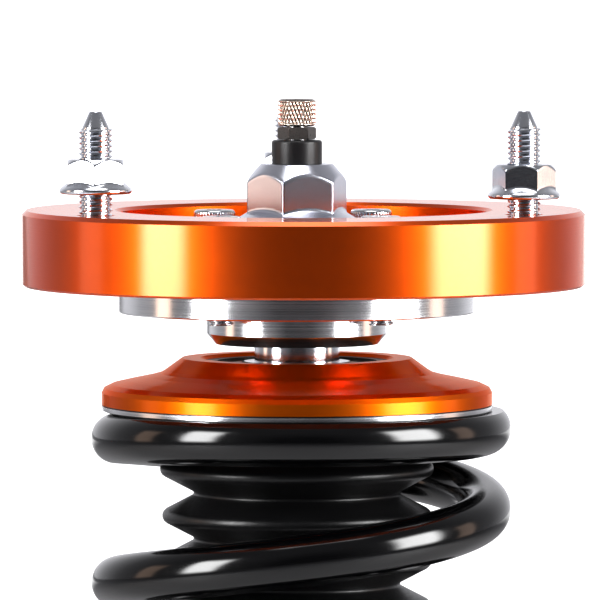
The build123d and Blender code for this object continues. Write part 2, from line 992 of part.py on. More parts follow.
line_reach = -sleeve_r - line_tab_y + tab_root
with BuildPart() as brake_line_tab:
    with BuildSketch(Plane((strut_x, line_tab_y, sleeve_low + 2 * sleeve_edge))) as line_tab:
        Circle(line_tab_r)
        with Locations((0, line_reach / 2)):
            Rectangle(2 * line_tab_r, line_reach)
        Circle(line_hole_r, mode=Mode.SUBTRACT)
    extrude(line_tab.sketch, amount=line_tab_thick)
    clear_of_sleeve()
save(brake_line_tab, "brake_line_tab")
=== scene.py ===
"""Studio scene of a coilover strut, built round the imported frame."""

from math import ceil, cos, degrees, floor, pi, radians, sin, tan, tau

import bmesh
import bpy
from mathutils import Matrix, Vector


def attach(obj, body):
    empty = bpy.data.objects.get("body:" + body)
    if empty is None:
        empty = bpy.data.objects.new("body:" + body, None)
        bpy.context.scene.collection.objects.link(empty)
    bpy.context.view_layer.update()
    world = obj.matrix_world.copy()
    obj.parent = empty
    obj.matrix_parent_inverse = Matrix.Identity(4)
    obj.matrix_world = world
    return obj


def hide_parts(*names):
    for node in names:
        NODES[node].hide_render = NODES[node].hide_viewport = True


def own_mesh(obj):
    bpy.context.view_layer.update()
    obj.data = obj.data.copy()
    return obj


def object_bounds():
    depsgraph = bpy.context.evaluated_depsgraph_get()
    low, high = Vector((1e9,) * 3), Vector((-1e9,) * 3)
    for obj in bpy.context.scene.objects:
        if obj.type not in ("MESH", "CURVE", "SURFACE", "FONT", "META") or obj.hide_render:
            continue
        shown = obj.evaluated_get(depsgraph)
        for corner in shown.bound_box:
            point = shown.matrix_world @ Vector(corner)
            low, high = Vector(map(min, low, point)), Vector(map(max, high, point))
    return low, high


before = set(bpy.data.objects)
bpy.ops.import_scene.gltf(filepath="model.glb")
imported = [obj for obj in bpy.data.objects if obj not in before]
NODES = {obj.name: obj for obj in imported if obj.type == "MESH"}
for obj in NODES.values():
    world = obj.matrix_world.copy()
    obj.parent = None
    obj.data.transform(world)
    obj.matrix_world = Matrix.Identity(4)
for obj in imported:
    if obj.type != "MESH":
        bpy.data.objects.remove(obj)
cad_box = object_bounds()

MM = 0.001
STRUT_X = -1.6


# ---------------------------------------------------------------- mesh code
def mesh_object(name, verts, faces, body, material, sharp=35.0):
    """A smooth-shaded object from points in millimetres, riding on a body."""
    mesh = bpy.data.meshes.new(name)
    mesh.from_pydata([tuple(c * MM for c in v) for v in verts], [], faces)
    tidy = bmesh.new()
    tidy.from_mesh(mesh)
    bmesh.ops.remove_doubles(tidy, verts=tidy.verts, dist=2e-7)
    bmesh.ops.recalc_face_normals(tidy, faces=tidy.faces)
    tidy.to_mesh(mesh)
    tidy.free()
    mesh.polygons.foreach_set("use_smooth", [True] * len(mesh.polygons))
    mesh.set_sharp_from_angle(angle=radians(sharp))
    mesh.materials.append(material)
    obj = bpy.data.objects.new(name, mesh)
    bpy.context.scene.collection.objects.link(obj)
    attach(obj, body)
    return obj


def skin(loops, closed):
    """Faces between neighbouring loops of points; a loop of one point is a pole."""
    verts, starts = [], []
    for loop in loops:
        starts.append(len(verts))
        verts.extend(loop)
    faces = []
    pairs = list(zip(range(len(loops) - 1), range(1, len(loops))))
    if closed:
        pairs.append((len(loops) - 1, 0))
    for i, j in pairs:
        a, b = starts[i], starts[j]
        na, nb = len(loops[i]), len(loops[j])
        count = max(na, nb)
        for k in range(count):
            m = (k + 1) % count
            if na == 1:
                faces.append((a, b + k, b + m))
            elif nb == 1:
                faces.append((a + k, a + m, b))
            else:
                faces.append((a + k, a + m, b + m, b + k))
    return verts, faces


def circle(r, z, centre, count, shape=None):
    """One loop about a vertical axis; shape(angle, r, z) may change its radius."""
    if r < 1e-6:
        return [(centre[0], centre[1], z)]
    loop = []
    for k in range(count):
        angle = tau * k / count
        radius = shape(angle, r, z) if shape else r
        loop.append((centre[0] + radius * cos(angle), centre[1] + radius * sin(angle), z))
    return loop


def rounded(corners, steps=4, closed=True):
    """A profile whose corners (r, z, radius) are rounded by arcs."""
    count, out = len(corners), []
    for i, corner in enumerate(corners):
        r, z = corner[0], corner[1]
        fillet = corner[2] if len(corner) > 2 else 0.0
        ends = not closed and i in (0, count - 1)
        if fillet <= 0 or ends:
            out.append((r, z))
            continue
        here = Vector((r, z))
        before = Vector(corners[i - 1][:2]) - here
        after = Vector(corners[(i + 1) % count][:2]) - here
        turn = before.angle(after)
        reach = min(fillet / tan(turn / 2), 0.49 * before.length, 0.49 * after.length)
        radius = reach * tan(turn / 2)
        middle = here + (before.normalized() + after.normalized()).normalized() * (
            radius / sin(turn / 2)
        )
        start = here + before.normalized() * reach - middle
        end = here + after.normalized() * reach - middle
        sweep = start.angle(end)
        side = 1 if start.x * end.y - start.y * end.x > 0 else -1
        for step in range(steps + 1):
            a = side * sweep * step / steps
            out.append(
                (
                    middle.x + start.x * cos(a) - start.y * sin(a),
                    middle.y + start.x * sin(a) + start.y * cos(a),
                )
            )
    return out


def lathe(name, profile, body, material, centre=(STRUT_X, 0), count=192, closed=True, shape=None):
    """A turned piece from a profile of (r, z) points."""
    loops = [circle(r, z, centre, count, shape) for r, z in profile]
    verts, faces = skin(loops, closed)
    return mesh_object(name, verts, faces, body, material)


def joined(name, parts, body, material, sharp=35.0):
    """One object from several (verts, faces) lumps."""
    verts, faces = [], []
    for some_verts, some_faces in parts:
        first = len(verts)
        verts.extend(some_verts)
        faces.extend(tuple(first + i for i in face) for face in some_faces)
    return mesh_object(name, verts, faces, body, material, sharp)


def soft_min(a, b, width):
    """The smaller of two, with the corner between them rounded."""
    h = max(width - abs(a - b), 0.0) / width
    return min(a, b) - h * h * width / 4


def soft_max(a, b, width):
    return -soft_min(-a, -b, width)


def hexagon_radius(angle, flats, face_angle):
    """Distance from a hexagon's centre to its edge, in a direction."""
    off = (degrees(angle) - face_angle + 30) % 60 - 30
    return flats / 2 / cos(radians(off))


def between(z, table):
    """Straight-line reading of a table of (z, value)."""
    if z <= table[0][0]:
        return table[0][1]
    for (z0, v0), (z1, v1) in zip(table, table[1:]):
        if z <= z1:
            return v0 + (v1 - v0) * (z - z0) / (z1 - z0)
    return table[-1][1]


def thread_radius(turns, crest, root):
    """A 60 degree thread's radius, by its place along one pitch."""
    place = turns - floor(turns)
    shape = [(0.0, crest), (0.125, crest), (0.4375, root), (0.6875, root), (1.0, crest)]
    return between(place, shape)


def threaded_rod(centre, low, top, crest, root, pitch, count, inner=0.0):
    """A right-handed external thread whose rows follow the helix, as (verts, faces)."""
    marks = (0.0, 0.125, 0.4375, 0.6875)
    first = floor(low / pitch) - 2
    rows = []
    for whole in range(first, ceil(top / pitch) + 1):
        for mark in marks:
            row = []
            for k in range(count + 1):
                angle = tau * k / count
                z = min(max((whole + mark + k / count) * pitch, low), top)
                r = thread_radius(z / pitch - k / count, crest, root)
                row.append((centre[0] + r * cos(angle), centre[1] + r * sin(angle), z))
            rows.append(row)
    verts = [v for row in rows for v in row]
    wide = count + 1
    faces = []
    for j in range(len(rows) - 1):
        for k in range(count):
            quad = [j * wide + k, j * wide + k + 1, (j + 1) * wide + k + 1, (j + 1) * wide + k]
            if len({verts[q] for q in quad}) == 4:
                faces.append(tuple(quad))
            elif len({verts[q] for q in quad}) == 3:
                seen = []
                for q in quad:
                    if verts[q] not in [verts[s] for s in seen]:
                        seen.append(q)
                faces.append(tuple(seen))
    ends = []
    for z in (low, top):
        loop = []
        for k in range(count):
            r = thread_radius(z / pitch - k / count, crest, root)
            angle = tau * k / count
            loop.append((centre[0] + r * cos(angle), centre[1] + r * sin(angle), z))
        ends.append(loop)
    for loop in ends:
        start = len(verts)
        verts.extend(loop)
        inside = circle(inner, loop[0][2], centre, count)
        hub = len(verts)
        verts.extend(inside)
        for k in range(count):
            m = (k + 1) % count
            if inner < 1e-6:
                faces.append((start + k, start + m, hub))
            else:
                faces.append((start + k, start + m, hub + m, hub + k))
    return verts, faces


# ---------------------------------------------------------------- materials
class Look:
    """A principled material with short ways to add nodes."""

    def __init__(self, name, colour, metallic=0.0, roughness=0.5, coat=0.0, coat_roughness=0.05):
        self.material = bpy.data.materials.new(name)
        self.material.use_nodes = True
        self.tree = self.material.node_tree
        self.shader = self.tree.nodes["Principled BSDF"]
        self.shader.inputs["Base Color"].default_value = (*colour, 1)
        self.shader.inputs["Metallic"].default_value = metallic
        self.shader.inputs["Roughness"].default_value = roughness
        self.shader.inputs["Coat Weight"].default_value = coat
        self.shader.inputs["Coat Roughness"].default_value = coat_roughness

    def add(self, kind, inputs=None, **props):
        node = self.tree.nodes.new(kind)
        for key, value in props.items():
            setattr(node, key, value)
        for key, value in (inputs or {}).items():
            if isinstance(value, bpy.types.NodeSocket):
                self.tree.links.new(value, node.inputs[key])
            else:
                node.inputs[key].default_value = value
        return node

    def feed(self, key, socket):
        self.tree.links.new(socket, self.shader.inputs[key])

    def place(self, centre=(0, 0, 0)):
        """Row-frame position less a centre."""
        spot = self.add("ShaderNodeTexCoord").outputs["Object"]
        away = tuple(c * MM for c in centre)
        return self.add(
            "ShaderNodeVectorMath", {0: spot, 1: away}, operation="SUBTRACT"
        ).outputs[0]

    def noise(self, vector, scale, detail=2.0, rough=0.5):
        made = self.add(
            "ShaderNodeTexNoise",
            {"Vector": vector, "Scale": scale, "Detail": detail, "Roughness": rough},
        )
        return made.outputs["Fac"]

    def spread(self, socket, low, high, start=0.3, end=0.7):
        return self.add(
            "ShaderNodeMapRange",
            {"Value": socket, "From Min": start, "From Max": end, "To Min": low, "To Max": high},
        ).outputs[0]

    def mix(self, factor, one, other):
        made = self.add("ShaderNodeMix", data_type="RGBA")
        self.tree.links.new(factor, made.inputs[0])
        made.inputs[6].default_value = (*one, 1)
        made.inputs[7].default_value = (*other, 1)
        return made.outputs[2]

    def bump(self, height, distance, strength=1.0, onto=None):
        inputs = {"Height": height, "Distance": distance, "Strength": strength}
        if onto:
            inputs["Normal"] = onto
        return self.add("ShaderNodeBump", inputs).outputs[0]

    def turning_lines(self, centre, scale):
        """Fine rings left by the lathe: a noise that knows only radius and height."""
        spot = self.place(centre)
        parts = self.add("ShaderNodeSeparateXYZ", {0: spot})
        flat = self.add("ShaderNodeCombineXYZ", {0: parts.outputs[0], 1: parts.outputs[1]})
        radius = self.add("ShaderNodeVectorMath", {0: flat.outputs[0]}, operation="LENGTH")
        both = self.add(
            "ShaderNodeCombineXYZ", {0: radius.outputs["Value"], 1: parts.outputs[2]}
        )
        return self.noise(both.outputs[0], scale, 3.0, 0.6)


def turned_metal(name, colour, roughness, centre, shade=0.82, spread=0.07, coat=0.0, aniso=0.0):
    """Turned and finished metal: lathe rings, faint smears, slight tone changes."""
    look = Look(name, colour, 1.0, roughness, coat)
    lines = look.turning_lines(centre, 2600.0)
    smear = look.noise(look.place(), 55.0, 3.0)
    both = look.add("ShaderNodeMath", {0: lines, 1: smear}, operation="ADD").outputs[0]
    look.feed("Roughness", look.spread(both, roughness - spread, roughness + spread, 0.7, 1.3))
    darker = tuple(c * shade for c in colour)
    look.feed("Base Color", look.mix(look.spread(lines, 0.0, 1.0), darker, colour))
    look.feed("Normal", look.bump(lines, 3e-6, 0.3))
    look.shader.inputs["Anisotropic"].default_value = aniso
    tangent = look.add("ShaderNodeTangent", direction_type="RADIAL", axis="Z")
    look.feed("Tangent", tangent.outputs[0])
    return look.material


def plated_metal(name, colour, roughness, tint, grain=0.00002, uneven=0.3):
    """Plated steel: cloudy tone, tiny pits, uneven gloss."""
    look = Look(name, colour, 1.0, roughness)
    cloud = look.noise(look.place(), 160.0, 4.0, 0.6)
    fine = look.noise(look.place(), 2600.0, 2.0)
    look.feed("Base Color", look.mix(look.spread(cloud, 0.0, 1.0), colour, tint))
    look.feed(
        "Roughness",
        look.spread(fine, roughness * (1 - uneven), roughness * (1 + uneven)),
    )
    look.feed("Normal", look.bump(fine, grain, 0.3))
    return look.material


def coated(name, colour, roughness, coat, peel_scale, peel, coat_roughness=0.05):
    """Paint or powder coat with orange peel and a little dust in the tone."""
    look = Look(name, colour, 0.0, roughness, coat, coat_roughness)
    peel_noise = look.noise(look.place(), peel_scale, 2.0)
    tone = look.noise(look.place(), 90.0, 3.0)
    lighter = tuple(min(1, c * 1.6) for c in colour)
    look.feed("Base Color", look.mix(look.spread(tone, 0.0, 1.0), colour, lighter))
    look.feed("Roughness", look.spread(peel_noise, roughness * 0.85, roughness * 1.2))
    look.feed("Normal", look.bump(peel_noise, peel, 0.5))
    return look.material


def anodised(name, centre, deep, bright, coat):
    """Dyed anodised aluminium: satin metal under a clear oxide skin."""
    look = Look(name, bright, 1.0, 0.34, coat, 0.12)
    look.shader.inputs["Coat IOR"].default_value = 1.48
    look.shader.inputs["Specular Tint"].default_value = (1.0, 0.4, 0.08, 1)
    lines = look.turning_lines(centre, 3600.0)
    blast = look.noise(look.place(), 3200.0, 2.0)
    cloud = look.noise(look.place(), 40.0, 3.0)
    both = look.add("ShaderNodeMath", {0: lines, 1: blast}, operation="ADD").outputs[0]
    look.feed("Base Color", look.mix(look.spread(cloud, 0.0, 1.0), deep, bright))
    look.feed("Roughness", look.spread(both, 0.31, 0.37, 0.7, 1.3))
    skin_bump = look.bump(both, 3e-6, 0.25)
    look.feed("Normal", skin_bump)
    look.feed("Coat Normal", skin_bump)
    return look.material


orange = anodised(
    "orange_anodised", (0, 0, 0), (0.64, 0.092, 0.0005), (0.72, 0.108, 0.0006), 1.0
)
orange_seat = anodised(
    "orange_anodised_seat", (STRUT_X, 0, 0), (0.66, 0.135, 0.001), (0.73, 0.155, 0.0012), 0.3
)
aluminium = turned_metal("polished_aluminium", (0.84, 0.84, 0.86), 0.16, (STRUT_X, 0, 0), 0.9)
nut_metal = plated_metal("nut_aluminium", (0.70, 0.71, 0.78), 0.24, (0.67, 0.68, 0.75), 1e-8, 0.03)
washer_metal = turned_metal("washer_steel", (0.72, 0.72, 0.74), 0.22, (STRUT_X, 0, 0), 0.85)
zinc = plated_metal("bright_zinc", (0.80, 0.81, 0.84), 0.14, (0.70, 0.72, 0.78))
bolt_steel = plated_metal("bolt_steel", (0.66, 0.67, 0.70), 0.20, (0.58, 0.59, 0.62))
bearing_steel = plated_metal("bearing_steel", (0.78, 0.78, 0.80), 0.10, (0.70, 0.70, 0.73))
chrome = plated_metal("hard_chrome", (0.82, 0.83, 0.85), 0.05, (0.78, 0.79, 0.82), 5e-6)


def knurled_metal(name, bright, groove_shade, radius, depth, centre):
    """Nickel-bronze with painted shade in the grooves of its knurl: darker towards the groove
    floors.
    """
    look = Look(name, bright, 1.0, 0.26)
    fine = look.noise(look.place(), 2600.0, 2.0)
    parts = look.add("ShaderNodeSeparateXYZ", {0: look.place(centre)})
    flat = look.add("ShaderNodeCombineXYZ", {0: parts.outputs[0], 1: parts.outputs[1]})
    away = look.add("ShaderNodeVectorMath", {0: flat.outputs[0]}, operation="LENGTH")
    # Painted shade: the colour darkens from the knurl's crests down into its grooves.
    crest = look.spread(
        away.outputs["Value"], 0.0, 1.0, (radius - depth) * MM, (radius - 0.1 * depth) * MM
    )
    look.feed("Base Color", look.mix(crest, groove_shade, bright))
    look.feed("Roughness", look.spread(fine, 0.2, 0.34))
    return look.material


# The second colour is painted shade for the knurl's grooves.
knob_metal = knurled_metal(
    "nickel_bronze", (0.80, 0.72, 0.64), (0.09, 0.06, 0.045), 4.5, 0.38, (STRUT_X, 0, 0)
)
pin_metal = plated_metal("stainless_pin", (0.62, 0.62, 0.63), 0.25, (0.54, 0.54, 0.56))
brass = plated_metal("brass_part", (0.80, 0.56, 0.22), 0.24, (0.66, 0.44, 0.16))
spring_steel = plated_metal("spring_steel", (0.35, 0.35, 0.36), 0.30, (0.28, 0.28, 0.29))
tube_zinc = plated_metal("zinc_tube", (0.68, 0.69, 0.71), 0.22, (0.60, 0.61, 0.64))
black_oxide = coated("black_oxide", (0.012, 0.012, 0.013), 0.36, 0.0, 3000.0, 1e-5)
hex_black = coated("dark_hexagon", (0.05, 0.047, 0.045), 0.30, 0.2, 3000.0, 1e-5)
gloss_black = coated("black_spring_paint", (0.001, 0.001, 0.0013), 0.13, 0.3, 420.0, 1.2e-5, 0.08)
bracket_paint = coated("black_bracket_paint", (0.012, 0.012, 0.013), 0.38, 0.2, 900.0, 3e-5)
rubber = coated("boot_rubber", (0.004, 0.004, 0.0045), 0.34, 0.0, 1400.0, 2e-5)
liner = coated("liner_plastic", (0.20, 0.15, 0.09), 0.55, 0.0, 2000.0, 2e-5)
foam = coated("bump_foam", (0.62, 0.46, 0.14), 0.75, 0.0, 1500.0, 1e-4)

CAD_LOOKS = {
    orange: ["mount_ring"],
    orange_seat: ["upper_spring_seat", "spring_perch"],
    aluminium: ["bearing_housing", "floating_piston", "piston", "rod_guide"],
    nut_metal: ["top_nut"],
    washer_metal: ["upper_washer", "lower_washer", "bump_washer", "rebound_spacer"],
    zinc: ["mount_studs", "stud_nuts", "upper_spacer", "lower_spacer", "piston_nut"],
    bolt_steel: ["carrier_bolts", "carrier_washers", "tube_end_cap"],
    bearing_steel: [
        "bearing_race", "bearing_ball", "bearing_inner_ring", "bearing_outer_ring", "bearing_balls",
    ],
    chrome: ["piston_rod"],
    spring_steel: ["race_circlip", "valve_shims"],
    black_oxide: [
        "rod_collar", "seat_retaining_ring", "bracket_lock_collar",
        "perch_lock_collar", "gland_cap",
    ],
    hex_black: ["adjuster_hex"],
    knob_metal: ["adjuster_knob"],
    pin_metal: ["adjuster_pin", "metering_needle"],
    brass: ["gas_valve", "bearing_cage"],
    gloss_black: ["main_spring"],
    rubber: [
        "dust_boot", "spring_isolators", "bearing_seals", "rod_wiper", "rod_seal", "piston_o_ring",
    ],
    liner: ["bearing_liner", "piston_band", "guide_bush"],
    foam: ["bump_stop"],
    tube_zinc: ["damper_tube"],
    bracket_paint: ["bracket_sleeve", "knuckle_bracket", "drop_link_tab", "brake_line_tab"],
}
for look, names in CAD_LOOKS.items():
    for node_name in names:
        slots = NODES[node_name].data.materials
        slots.clear()
        slots.append(look)

# ---------------------------------------------------------------- studs and their nuts
STUD_CIRCLE = 58.0
STUD_ANGLES = (90, 210, 330)
NUT_SEATS = (3.6, 5.1, 3.75)
NUT_TURNS = (0, -123, -100)
STUD_TOP, STUD_FOOT, PILOT = 24.3, -17.5, 4.0
M8_CREST, M8_ROOT, M8_PITCH, M8_NUT_FLATS = 3.98, 3.42, 1.25, 13.0

stud_spots = [
    (STUD_CIRCLE * cos(radians(a)), STUD_CIRCLE * sin(radians(a))) for a in STUD_ANGLES
]
lumps = []
for spot in stud_spots:
    lumps.append(threaded_rod(spot, STUD_FOOT, STUD_TOP - PILOT, M8_CREST, M8_ROOT, M8_PITCH, 48))
    tip = rounded(
        [
            (0, STUD_TOP - PILOT - 1.5),
            (3.0, STUD_TOP - PILOT - 1.5),
            (3.15, STUD_TOP - PILOT + 0.3, 0.2),
            (1.45, STUD_TOP, 0.3),
            (0, STUD_TOP),
        ],
        closed=False,
    )
    lumps.append(skin([circle(r, z, spot, 48) for r, z in tip], False))
studs = joined("threaded_studs", lumps, "top_mount", zinc)
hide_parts("mount_studs")


def flange_nut_lump(spot, base, turn):
    """An M8 flange nut: rounded flange, cone up to the hexagon, chamfered crown."""
    flange = [(0.0, 8.0), (0.25, 8.35), (0.6, 8.5), (1.0, 8.45)]
    flange += [(1.3, 8.25), (2.9, 6.3), (3.4, 3.0)]
    crown = [(5.9, 8.4), (6.4, 7.9), (8.0, 6.4)]
    heights = [0.0, 0.12, 0.25, 0.42, 0.6, 0.8, 1.0, 1.15, 1.3, 1.7, 2.1, 2.5, 2.8, 3.1, 3.4]
    heights += [4.2, 5.0, 5.9, 6.2, 6.5, 6.8, 7.1, 7.4, 7.7, 7.85, 8.0]

    def outside(angle, r, z):
        local = z - base
        hexagon = hexagon_radius(angle, M8_NUT_FLATS, turn)
        body = soft_min(hexagon, between(local, crown), 0.25)
        return soft_max(body, between(local, flange), 0.5)

    loops = [circle(4.6, base, spot, 144)]
    loops += [circle(8.0, base + h, spot, 144, outside) for h in heights]
    loops += [circle(5.6, base + 8.0, spot, 144), circle(4.3, base + 8.0, spot, 144)]
    loops += [circle(3.7, base + 7.4, spot, 144), circle(3.7, base + 0.7, spot, 144)]
    return skin(loops, True)


nuts = joined(
    "flange_nuts",
    [flange_nut_lump(s, h, t) for s, h, t in zip(stud_spots, NUT_SEATS, NUT_TURNS)],
    "top_mount",
    zinc,
)
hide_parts("stud_nuts")

# ---------------------------------------------------------------- top nut, collar, knob
TOP_NUT_FLATS, TOP_NUT_TURN, TOP_NUT_CORNER_R = 21.3, -78.4, 12.25


def top_nut_outside(angle, r, z):
    shoulder = [(6.0, 12.9), (10.9, 8.65)]
    base = [(-4.0, 14.5), (-2.4, 14.5), (-1.9, 14.0), (-0.8, 12.2), (0.6, 10.0), (1.5, 8.0)]
    hexagon = min(hexagon_radius(angle, TOP_NUT_FLATS, TOP_NUT_TURN), TOP_NUT_CORNER_R)
    body = soft_min(hexagon, between(z, shoulder), 0.3)
    return soft_max(body, between(z, base), 0.5)


nut_heights = [-4.0, -3.6, -2.6, -2.4, -2.1, -1.9, -1.6, -1.2, -0.8, -0.4, 0.0, 0.4, 0.8, 1.3, 2.0]
nut_heights += [3.0, 4.0, 5.0, 5.6, 6.0, 6.4, 6.8, 7.2, 7.6, 8.0, 8.4, 8.8, 9.2, 9.6, 10.0, 10.3]
nut_heights += [10.6, 10.8, 10.9]
strut = (STRUT_X, 0)
loops = [circle(6.0, -4.0, strut, 240)]
loops += [circle(10.0, h, strut, 240, top_nut_outside) for h in nut_heights]
loops += [circle(r, z, strut, 240) for r, z in ((7.4, 10.9), (6.3, 10.9), (6.0, 10.6))]
top_nut = joined("tall_top_nut", [skin(loops, True)], "strut_rod", nut_metal, 50)
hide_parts("top_nut")

KNOB_R, KNOB_LOW, KNOB_TOP = 4.5, 19.9, 26.3
KNURLS, KNURL_DEPTH = 32, 0.38


def knurled(angle, r, z):
    """Two crossed sets of helical grooves leave rows of small pyramids."""
    if r < KNOB_R - 0.3 or z < KNOB_LOW + 0.5 or z > KNOB_TOP - 0.5:
        return r
    along = (z - KNOB_LOW) / (tau * KNOB_R / KNURLS) * 0.42
    deepest = 0.0
    for side, depth in ((-1, 0.55), (1, 1.0)):
        place = (angle / tau * KNURLS + side * along) % 1.0
        deepest = max(deepest, depth * (1 - min(place, 1 - place) * 3.2))
    fade = min((z - KNOB_LOW - 0.5) / 0.2, (KNOB_TOP - 0.5 - z) / 0.2, 1.0)
    return r - KNURL_DEPTH * max(deepest, 0) * fade


knob_profile = [(0, KNOB_LOW), (3.7, KNOB_LOW), (4.1, KNOB_LOW + 0.1), (KNOB_R, KNOB_LOW + 0.45)]
steps = 96
for step in range(steps + 1):
    z = KNOB_LOW + 0.5 + (KNOB_TOP - KNOB_LOW - 1.0) * step / steps
    knob_profile.append((KNOB_R, z))
knob_profile += [(KNOB_R, KNOB_TOP - 0.45), (4.1, KNOB_TOP - 0.1), (3.7, KNOB_TOP)]
knob_profile += [(1.0, KNOB_TOP), (0.8, KNOB_TOP - 0.3), (0, KNOB_TOP - 0.35)]
knob = lathe(
    "knurled_knob", knob_profile, "adjuster", knob_metal, count=480, closed=False, shape=knurled
)
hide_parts("adjuster_knob")

# ---------------------------------------------------------------- collar and hexagon
collar_profile = rounded(
    [(3.0, 10.95), (6.0, 10.95), (6.0, 16.6, 0.65), (3.0, 16.6)], 6
)
collar = lathe("rod_top_collar", collar_profile, "strut_rod", black_oxide, count=128)
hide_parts("rod_collar")

HEX_FLATS, HEX_TURN, HEX_LOW, HEX_TOP = 8.0, -88.0, 16.8, 19.7


def small_hexagon(angle, r, z):
    """A turned hexagon: flats, with both ends chamfered to a circle."""
    chamfer = min(4.62, 4.15 + 0.9 * min(z - HEX_LOW, HEX_TOP - z) / 0.6)
    return soft_min(hexagon_radius(angle, HEX_FLATS, HEX_TURN), chamfer, 0.08)


hex_rows = [HEX_LOW + h for h in (0, 0.08, 0.16, 0.25, 0.35, 0.5, 0.7, 1.0, 1.45)]
hex_rows += [HEX_TOP - h for h in (1.0, 0.7, 0.5, 0.35, 0.25, 0.16, 0.08, 0)]
loops = [circle(2.5, HEX_LOW, strut, 180)]
loops += [circle(4.0, z, strut, 180, small_hexagon) for z in hex_rows]
loops += [circle(2.5, HEX_TOP, strut, 180)]
small_hex = joined("adjuster_hexagon", [skin(loops, True)], "adjuster", hex_black, 30)
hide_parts("adjuster_hex")

# ---------------------------------------------------------------- camber bolts
M6_OFFSET, M6_HEAD_R, M6_HEAD_LOW, M6_HEAD_TOP = 18.84, 5.0, -6.7, -0.7
M6_TIP, M6_KNURLS, M6_SOCKET, M6_SOCKET_DEEP = -26.4, 36, 5.0, 3.2
M6_CREST, M6_ROOT, M6_PITCH = 2.98, 2.5, 1.0
bolt_spots = [(STRUT_X + i * M6_OFFSET, j * M6_OFFSET) for i in (-1, 1) for j in (-1, 1)]


def bolt_lump(spot, turn):
    """An M6 cap screw: knurled head with a rounded top edge and a hexagon socket."""

    def outside(angle, r, z):
        if r < M6_HEAD_R - 0.05 or z < M6_HEAD_LOW + 0.5 or z > M6_HEAD_TOP - 1.0:
            return r
        place = (angle / tau * M6_KNURLS) % 1.0
        return r - 0.18 * max(0.0, 1 - min(place, 1 - place) * 3.4)

    def socket(angle, r, z):
        return hexagon_radius(angle, M6_SOCKET, turn)

    rim = [(3.05, M6_HEAD_LOW), (4.7, M6_HEAD_LOW), (5.0, M6_HEAD_LOW + 0.3)]
    rim += [(5.0, M6_HEAD_LOW + 0.55), (5.0, M6_HEAD_LOW + 0.65), (5.0, M6_HEAD_TOP - 1.2)]
    rim += [(5.0, M6_HEAD_TOP - 1.05), (4.94, M6_HEAD_TOP - 0.6), (4.8, M6_HEAD_TOP - 0.35)]
    rim += [(4.55, M6_HEAD_TOP - 0.12), (4.2, M6_HEAD_TOP), (3.1, M6_HEAD_TOP)]
    rows = [circle(r, z, spot, 216, outside) for r, z in rim]
    floor_at = M6_HEAD_TOP - M6_SOCKET_DEEP
    rows += [circle(2.5, M6_HEAD_TOP - 0.15, spot, 216, socket)]
    rows += [circle(2.5, floor_at, spot, 216, socket), circle(0, floor_at - 0.6, spot, 216)]
    return skin(rows, False)


lumps = [bolt_lump(spot, 10 + 23 * i) for i, spot in enumerate(bolt_spots)]
lumps += [
    threaded_rod(spot, M6_TIP, M6_HEAD_LOW, M6_CREST, M6_ROOT, M6_PITCH, 36)
    for spot in bolt_spots
]
camber_bolts = joined("camber_bolts", lumps, "bearing_carrier", bolt_steel, 40)
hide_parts("carrier_bolts")

# ---------------------------------------------------------------- spring
WIRE_R, COIL_R, SPRING_X = 6.05, 44.0, STRUT_X + 1.0
COIL_PITCH, FIRST_CENTRE, RAMP_FROM, RAMP_TO = 35.6, -52.0, 98.0, 242.0
WIRE_START, COIL_TURNS, GROUND_OFF = -60.0, 6.3, 4.2
SPRING_TOP = -47.8


def fall(turn, total):
    """How far the wire has dropped below its first coil."""
    if turn > total / 2:
        return 2 * fall(total / 2, total) - fall(total - turn, total)
    angle = turn + WIRE_START
    if angle < RAMP_FROM:
        return 0.0
    slope = COIL_PITCH / 360
    if angle < RAMP_TO:
        return slope * (angle - RAMP_FROM) ** 2 / (2 * (RAMP_TO - RAMP_FROM))
    return slope * (angle - (RAMP_FROM + RAMP_TO) / 2)


total = COIL_TURNS * 360
spring_low = FIRST_CENTRE - fall(total, total) - GROUND_OFF


def wire_point(turn):
    heading = radians(-turn - WIRE_START)
    return Vector(
        (SPRING_X + COIL_R * cos(heading), COIL_R * sin(heading), FIRST_CENTRE - fall(turn, total))
    )


sections, around = 760, 40
loops = []
for step in range(sections + 1):
    turn = total * step / sections
    here = wire_point(turn)
    along = (wire_point(min(turn + 0.5, total)) - wire_point(max(turn - 0.5, 0))).normalized()
    outward = Vector((here.x - SPRING_X, here.y, 0)).normalized()
    up = along.cross(outward).normalized()
    outward = up.cross(along).normalized()
    loop = []
    for k in range(around):
        angle = tau * k / around
        point = here + outward * (WIRE_R * cos(angle)) + up * (WIRE_R * sin(angle))
        point.z = min(max(point.z, spring_low), SPRING_TOP)
        loop.append(tuple(point))
    loops.append(loop)
loops = [[tuple(wire_point(0))]] + loops + [[tuple(wire_point(total))]]
spring_verts, spring_faces = skin(loops, False)
spring = mesh_object("coil_spring", spring_verts, spring_faces, "upper_seat", gloss_black, 40)
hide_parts("main_spring")
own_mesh(spring)

# ---------------------------------------------------------------- dust boot
CREST_TOP, CREST_PITCH, CRESTS = -62.0, 10.85, 11
BOOT_TOP, BOOT_LOW = -48.6, -188.0
outer = [(27.0, BOOT_TOP, 0.4), (27.0, CREST_TOP + CREST_PITCH / 2, 1.5)]
inner = [(25.6, BOOT_TOP), (25.6, CREST_TOP + CREST_PITCH / 2)]
for step in range(CRESTS):
    z = CREST_TOP - step * CREST_PITCH
    outer.append((34.2, z, 1.8))
    inner.append((32.2, z, 1.0))
    if step < CRESTS - 1:
        outer.append((23.8, z - CREST_PITCH / 2, 0.7))
        inner.append((22.0, z - CREST_PITCH / 2, 1.5))
cuff = CREST_TOP - (CRESTS - 1) * CREST_PITCH - CREST_PITCH / 2
outer += [(26.8, cuff, 1.5), (26.8, BOOT_LOW, 0.4)]
inner += [(25.35, cuff), (25.35, BOOT_LOW)]
boot = lathe(
    "dust_bellows", rounded(outer + inner[::-1], 5), "upper_seat", rubber, count=160
)
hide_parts("dust_boot")
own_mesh(boot)

